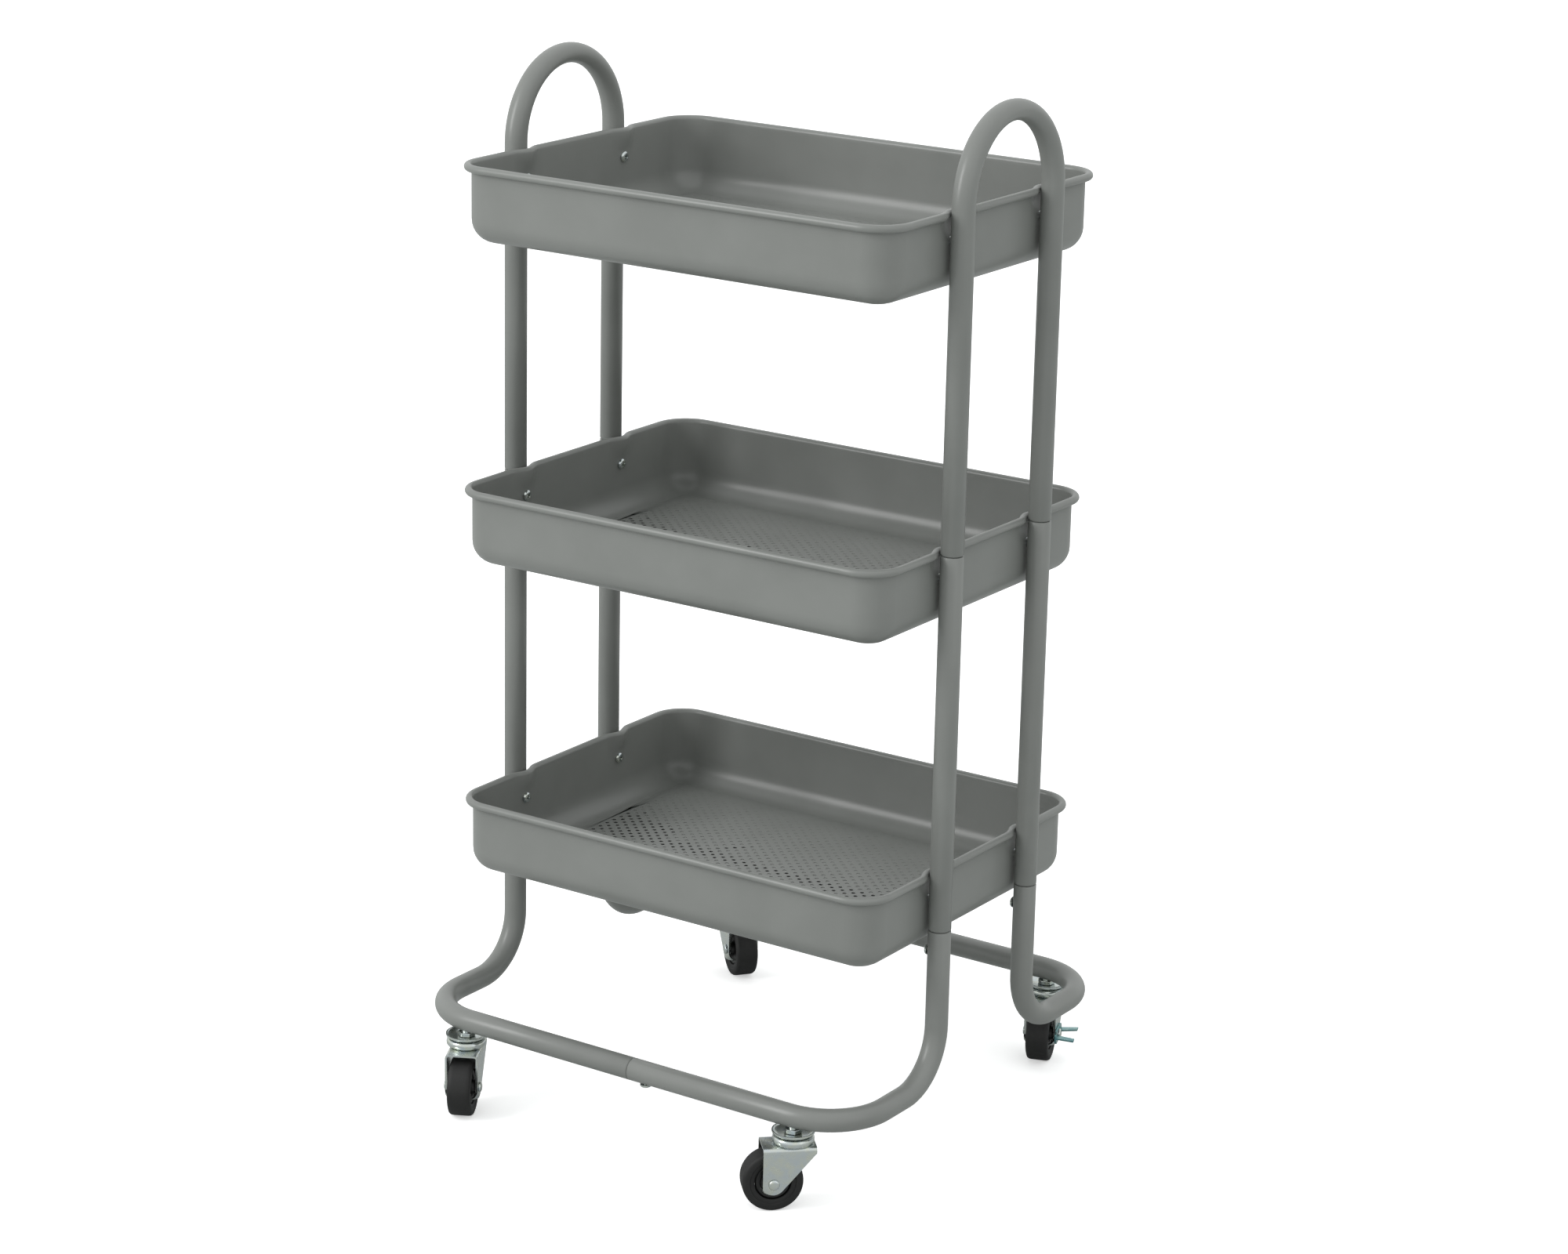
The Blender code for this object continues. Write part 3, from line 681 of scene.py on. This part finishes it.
# %% Place the screws
def seat_of(node, head):
    """The point under the head, and the turn that brings +Z onto the head's direction."""
    low, high = (Vector(side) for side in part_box(node))
    head = Vector(head)
    tip = (low + high) / 2 + head * abs((high - low).dot(head)) / 2
    return Matrix.Translation(tip - head * HEAD_HEIGHT) @ head.to_track_quat("Z", "Y").to_matrix().to_4x4()


screw_heads = {"front_rail_screw": (0, 0, -1), "back_rail_screw": (0, 0, -1)}
for corner, (sx, sy) in CORNERS.items():
    for level in ("top", "middle", "bottom"):
        screw_heads[f"{level}_tray_screw_{corner}"] = (-sx, 0, 0)
    screw_heads["leg_joint_screw_" + corner] = (-sx, 0, 0)
for count, (node, head) in enumerate(screw_heads.items()):
    turn = Matrix.Rotation(0.7 * count, 4, "Z")
    twin = copy(screw, node + "_pan_head", seat_of(node, head) @ turn)
    keep(twin, node, zinc, "cart")
bpy.data.objects.remove(screw, do_unlink=True)
print("screws:", len(screw_heads))

# %% [markdown]
# ## Casters
# A caster is modelled once, on its own swivel axis and with its wheel trailing towards +X, and then
# turned and copied to the four corners. Its heights are the frame's own.

# %% Caster heights and positions
WHEEL_Z = 25.0
TRAIL = 17.0
PLAY = 0.3                                        # between pieces of a caster
HEX_RADIUS = 7.5                                  # to the corners of the hexagon
CUP_FLOOR = 1.3
SPINDLE_HOLE = 4.9
AXLE_HOLE = 3.3
rail_under = rail_low[2] / MM
cup_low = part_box("caster_fl_cup")[0][2] / MM
PLATE_Z = 56.0                                    # top of the fork's plate
casters = {}
for corner in CORNERS:
    low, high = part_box(f"caster_{corner}_stem")
    pivot = Vector(((low[0] + high[0]) / 2, (low[1] + high[1]) / 2, 0))
    low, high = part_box(f"caster_{corner}_tyre")
    wheel = Vector(((low[0] + high[0]) / 2, (low[1] + high[1]) / 2, 0))
    heading = math.atan2(wheel.y - pivot.y, wheel.x - pivot.x)
    casters[corner] = Matrix.Translation(pivot) @ Matrix.Rotation(heading, 4, "Z")
    print(f"caster {corner}: trails at {math.degrees(heading):.1f} degrees")

# %% [markdown]
# The stem carries a hexagon for the spanner. The spindle under it passes through both races and is
# riveted over below the fork's plate.

# %% Stem and the fixed race
stem_outline = [
    (4.9, PLATE_Z - 2.8), (6.2, PLATE_Z - 2.3), (6.2, PLATE_Z - 1.8), (4.2, PLATE_Z - 1.8),
    (4.2, cup_low + 2), (4, cup_low + 2), (4, 82),
]
stem = turned("stem", stem_outline, 28)
only()
collar_low, collar_high = cup_low + CUP_FLOOR + PLAY, rail_under - PLAY
bpy.ops.mesh.primitive_cylinder_add(
    vertices=6,
    radius=HEX_RADIUS * MM,
    depth=(collar_high - collar_low) * MM,
    location=(0, 0, (collar_high + collar_low) / 2 * MM),
)
collar = begin("hex_collar")
close()
soften(collar, 0.5 * MM, 2)
combine(stem, collar, "UNION")

cup_outline = [
    (4.6, 0), (11.2, 0), (14.5, 0.5), (16.6, 1.3), (17.5, 2.3), (17.7, 3.2), (17.6, 3.8),
    (16.7, 3.8), (16.3, 2.9), (15.2, 2.1), (12.6, 1.5), (4.6, 1.3),
]
cup = turned("race_cup", [(r, z + cup_low) for r, z in cup_outline], 56, ring=True)
print("stem and cup:", len(stem.data.polygons), len(cup.data.polygons), "faces")

# %% [markdown]
# The fork is pressed from sheet. It starts as a box whose open front, back and underside are
# deleted; the heel is cut back on a slant to the axle, the bottom is rounded about the axle, the
# shoulders are rolled over, and the sheet gets its thickness.

# %% Fork
FORK_SHEET = 1.6
FORK_W = 14.0
FORK_BACK = -17.5
BOSS_R = 9.0
FORK_HEEL = 5.1                                   # straight edge below the top of the plate
SHOULDER_R = 3.2


def fork_shell():
    front = TRAIL + BOSS_R
    foot = WHEEL_Z - BOSS_R
    only()
    centre = ((front + FORK_BACK) / 2 * MM, 0, (PLATE_Z + foot) / 2 * MM)
    bpy.ops.mesh.primitive_cube_add(size=1, location=centre)
    bpy.context.object.scale = ((front - FORK_BACK) * MM, 2 * FORK_W * MM, (PLATE_Z - foot) * MM)
    obj = begin("fork")
    for facing in ((1, 0, 0), (-1, 0, 0), (0, 0, -1)):
        pick("FACE", lambda p: True, facing)
        bpy.ops.mesh.delete(type="ONLY_FACE")
    heel = PLATE_Z - FORK_HEEL
    bpy.ops.mesh.select_all(action="SELECT")
    bpy.ops.mesh.bisect(plane_co=(0, 0, heel * MM), plane_no=(0, 0, 1))
    # The slanted edge runs from the heel to touch the boss circle, then on down to the foot.
    dx, dz = FORK_BACK - TRAIL, heel - WHEEL_Z
    touch = math.atan2(dz, dx) + math.acos(BOSS_R / math.hypot(dx, dz))
    foot_x = TRAIL + (BOSS_R + BOSS_R * math.sin(touch)) / math.cos(touch)
    pick("VERT", lambda p: p.x < 0 and p.z < (foot + 1) * MM)
    bpy.ops.transform.translate(value=((foot_x - FORK_BACK) * MM, 0, 0))
    lean = math.radians(270) - touch
    for corner_x, offset in ((front, BOSS_R), (foot_x, BOSS_R * math.tan(lean / 2))):
        pick("VERT", lambda p: p.z < (foot + 0.1) * MM and abs(p.x - corner_x * MM) < 0.5 * MM)
        bpy.ops.mesh.bevel(affect="VERTICES", offset=0.97 * offset * MM, segments=8)
    pick("EDGE", lambda p: p.z > (PLATE_Z - 0.1) * MM and abs(p.y) > (FORK_W - 0.1) * MM)
    bpy.ops.mesh.bevel(offset=SHOULDER_R * MM, segments=6, affect="EDGES")
    close()
    use(obj, "SOLIDIFY", thickness=FORK_SHEET * MM, offset=-1, use_even_offset=True)
    return obj


fork = fork_shell()
print("fork's shell spans", [round(1000 * side) for side in fork.dimensions], "mm")

# %% [markdown]
# The lower race is a ring drawn up from the fork's plate. The spindle's hole and the axle's holes
# are cut through last, and every cut edge is softened as tumbling and plating leave it.

# %% Race, holes and soft edges on the fork
race_top = cup_low - PLAY
race_outline = [
    (4.9, PLATE_Z - 0.8), (11, PLATE_Z - 0.8), (15.8, PLATE_Z + 0.3), (17.0, PLATE_Z + 1.8),
    (17.2, PLATE_Z + 3.6), (16.8, race_top - 1.0), (15.9, race_top - 0.2), (14.6, race_top),
    (12.4, race_top - 0.6), (11, PLATE_Z + 2), (4.9, PLATE_Z + 1.4),
]
combine(fork, turned("race", race_outline, 56, ring=True), "UNION")


def drill(obj, x, z, radius, turn, depth):
    only()
    bpy.ops.mesh.primitive_cylinder_add(
        vertices=28, radius=radius * MM, depth=depth * MM, location=(x * MM, 0, z * MM), rotation=turn
    )
    combine(obj, bpy.context.object, "DIFFERENCE")


drill(fork, 0, PLATE_Z, SPINDLE_HOLE, ZERO, 12)
drill(fork, TRAIL, WHEEL_Z, AXLE_HOLE, (math.pi / 2, 0, 0), 60)
soften(fork, 0.25 * MM, 2, 50)
print("fork:", len(fork.data.polygons), "faces")

# %% [markdown]
# The wheel: a rubber tyre with square shoulders, rounded over, and a nylon hub whose face steps in
# twice before it rises to the boss that rides against the fork.

# %% Tyre, hub and axle
tyre_half = [
    (15.1, 8.6), (16.2, 9.2), (18.4, 9.2), (19, 9.8), (22.2, 10), (23.9, 9.4), (24.8, 8), (25, 6), (25, 2.4),
]
tyre = turned("tyre", tyre_half + [(r, -z) for r, z in tyre_half[::-1]], 72, ring=True)
hub_half = [
    (3.4, 11.9), (5.6, 11.9), (6.2, 11.3), (6.6, 7.2), (7.6, 6.4), (9.8, 6.4), (10.6, 7.6), (13.6, 7.8),
    (14.4, 7.2),
]
hub = turned("hub", hub_half + [(r, -z) for r, z in hub_half[::-1]], 56, ring=True)


def axle_outline(far):
    near = FORK_W + PLAY
    head = [(4.4, 0), (4.4, 0.7), (3.9, 1.3), (2.9, 1.7), (1.4, 1.8)]
    left = [(r, -near - h) for r, h in head[::-1]]
    return left + [(3, -near), (3, far)] + [(r, far + h) for r, h in head]


plain_axle = turned("plain_axle", axle_outline(FORK_W + PLAY), 32)
long_axle = turned("long_axle", axle_outline(FORK_W + 2.1), 32)
print("tyre and hub:", len(tyre.data.polygons), len(hub.data.polygons), "faces")

# %% [markdown]
# The brake is a small rocker beside the wheel. Its plate is cut from blue-zinc sheet and turns on
# the axle, and a foot presses one of its two treadles, which stand out from the plate's ends.

# %% Brake lever
LEVER_Y = FORK_W + PLAY


def brake_lever():
    only()
    bpy.ops.mesh.primitive_cube_add(size=1, location=(TRAIL * MM, (LEVER_Y + 0.75) * MM, WHEEL_Z * MM))
    bpy.context.object.scale = (27 * MM, 1.5 * MM, 12 * MM)
    obj = begin("brake_lever")
    pick("EDGE", lambda p: abs(p.x - TRAIL * MM) > 13 * MM)
    mesh = bmesh.from_edit_mesh(obj.data)
    for edge in mesh.edges:
        along = edge.verts[0].co - edge.verts[1].co
        edge.select_set(edge.select and abs(along.y) > 1 * MM)
    bmesh.update_edit_mesh(obj.data)
    bpy.ops.mesh.bevel(offset=4.2 * MM, segments=5, affect="EDGES")
    close()
    for side, tilt in ((-1, 0.35), (1, 0.2)):
        only()
        middle_of_tread = ((TRAIL + side * 9.7) * MM, (LEVER_Y + 8.6) * MM, WHEEL_Z * MM)
        bpy.ops.mesh.primitive_cube_add(size=1, location=middle_of_tread)
        bpy.context.object.scale = (7.4 * MM, 16 * MM, 1.5 * MM)
        tread = begin("treadle")
        pick("FACE", lambda p: p.y > (LEVER_Y + 10) * MM)
        scale((0.78, 1, 1), middle())
        bpy.ops.mesh.bisect(plane_co=(0, (LEVER_Y + 8) * MM, 0), plane_no=(0, 1, 0))
        pick("FACE", lambda p: p.y > (LEVER_Y + 16) * MM)
        bpy.ops.transform.translate(value=(0, 0, -side * tilt * 6 * MM))
        close()
        combine(obj, tread, "UNION")
    return obj


lever = brake_lever()
drill(lever, TRAIL, WHEEL_Z, AXLE_HOLE, (math.pi / 2, 0, 0), 60)
soften(lever, 0.25 * MM, 2, 50)
print("brake lever:", len(lever.data.polygons), "faces")

# %% [markdown]
# The masters now go to the four corners. The stem and cup stay with the cart, the fork and axle
# swivel, the tyre and hub roll, and a lever rocks where the frame has one.

# %% Place the casters
on_axle = Matrix.Translation((TRAIL * MM, 0, WHEEL_Z * MM)) @ Matrix.Rotation(-math.pi / 2, 4, "X")
for corner, place in casters.items():
    braked = f"caster_{corner}_brake_lever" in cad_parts
    axle = long_axle if braked else plain_axle
    pieces = [
        ("stem", stem, place, zinc, "zinc", "cart"),
        ("cup", cup, place, zinc, "zinc", "cart"),
        ("fork", fork, place, zinc, "zinc", "swivel_" + corner),
        ("axle", axle, place @ on_axle, zinc, "zinc", "swivel_" + corner),
        ("tyre", tyre, place @ on_axle, rubber, "rubber", "wheel_" + corner),
        ("hub", hub, place @ on_axle, nylon, "plastic", "wheel_" + corner),
    ]
    if braked:
        pieces.append(("brake_lever", lever, place, blue_zinc, "zinc", "brake_" + corner))
    for part, master, matrix, material, slot, body in pieces:
        twin = copy(master, f"caster_{corner}_{part}_fine", matrix)
        keep(twin, f"caster_{corner}_{part}", material, body)
for master in (stem, cup, fork, tyre, hub, plain_axle, long_axle, lever):
    bpy.data.objects.remove(master, do_unlink=True)

# %% [markdown]
# ## Studio
# The cart stands on a plain pale floor in a white studio. The light is broad and soft, a little
# stronger from the front left and above, so that the tubes carry long, faint highlights.

# %% Floor, world and lights
only()
bpy.ops.mesh.primitive_plane_add(size=60, location=(0, 0, 0))
ground = begin("studio_floor")
bpy.ops.object.mode_set(mode="OBJECT")
ground_paint, tree, shader, place = new_finish("white_studio_paper")
seen = tree.nodes.new("ShaderNodeLightPath").outputs["Is Camera Ray"]
tree.links.new(ramp(tree, seen, "#c4c6c5", "#fafafa", 0, 1), shader.inputs["Base Color"])
tree.links.new(between(tree, seen, 0, 0.45), shader.inputs["Emission Strength"])
shader.inputs["Emission Color"].default_value = linear("#ffffff")
shader.inputs["Roughness"].default_value = 0.9
shader.inputs["Specular IOR Level"].default_value = 0.1
ground.data.materials.append(ground_paint)

# The walls of the studio are greyer low down than the ceiling. The camera sees them plain white.
world = bpy.data.worlds.new("white_studio")
world.use_nodes = True
tree = world.node_tree
backdrop = tree.nodes["Background"]
aim = tree.nodes.new("ShaderNodeTexCoord").outputs["Generated"]
height = add(tree, "ShaderNodeSeparateXYZ", Vector=aim).outputs["Z"]
room = ramp(tree, height, "#eceeed", "#fdffff", 0.0, 0.7)
seen = tree.nodes.new("ShaderNodeLightPath").outputs["Is Camera Ray"]
shown = add(tree, "ShaderNodeMix", {"data_type": "RGBA"})
tree.links.new(seen, shown.inputs["Factor"])
tree.links.new(room, shown.inputs[6])
shown.inputs[7].default_value = (1, 1, 1, 1)
tree.links.new(shown.outputs[2], backdrop.inputs["Color"])
backdrop.inputs["Strength"].default_value = 1.0
bpy.context.scene.world = world


def soft_box(name, place, aim, size, power):
    light = bpy.data.lights.new(name, "AREA")
    light.shape = "RECTANGLE"
    light.size, light.size_y = size
    light.energy = power
    obj = bpy.data.objects.new(name, light)
    obj.location = place
    obj.rotation_euler = (Vector(aim) - Vector(place)).to_track_quat("-Z", "Y").to_euler()
    bpy.context.collection.objects.link(obj)


soft_box("key_box", (-1.6, -2.6, 2.0), (0, 0, 0.5), (0.9, 1.8), 40)
soft_box("side_box", (2.8, -0.6, 1.6), (0, 0, 0.5), (0.7, 1.8), 2)
bpy.context.scene.view_settings.view_transform = "Standard"

# %% [markdown]
# The camera stands in front of the right corner and looks down a little through a long lens, which
# keeps the uprights nearly parallel.

# %% Camera
AZIMUTH, ELEVATION, ROLL = 33.816, 16.842, 1.211
DISTANCE, ASIDE, UP = 3.476267, 0.011649, 0.391775
LENS = 91.814


def put_camera():
    azimuth, elevation, roll = (math.radians(angle) for angle in (AZIMUTH, ELEVATION, ROLL))
    level = math.cos(elevation)
    ahead = Vector((-math.sin(azimuth) * level, math.cos(azimuth) * level, -math.sin(elevation)))
    right = Vector((math.cos(azimuth), math.sin(azimuth), 0))
    above = right.cross(ahead)
    place = -ahead * DISTANCE + right * ASIDE + above * UP
    right_rolled = right * math.cos(roll) + above * math.sin(roll)
    above_rolled = -right * math.sin(roll) + above * math.cos(roll)
    turn = Matrix((right_rolled, above_rolled, -ahead)).transposed().to_4x4()
    data = bpy.data.cameras.new("camera")
    data.lens = LENS
    data.sensor_width = 36
    data.clip_end = 100
    camera = bpy.data.objects.new("camera", data)
    camera.matrix_world = Matrix.Translation(place) @ turn
    bpy.context.collection.objects.link(camera)
    bpy.context.scene.camera = camera
    return place


print("camera at", [round(part, 2) for part in put_camera()])
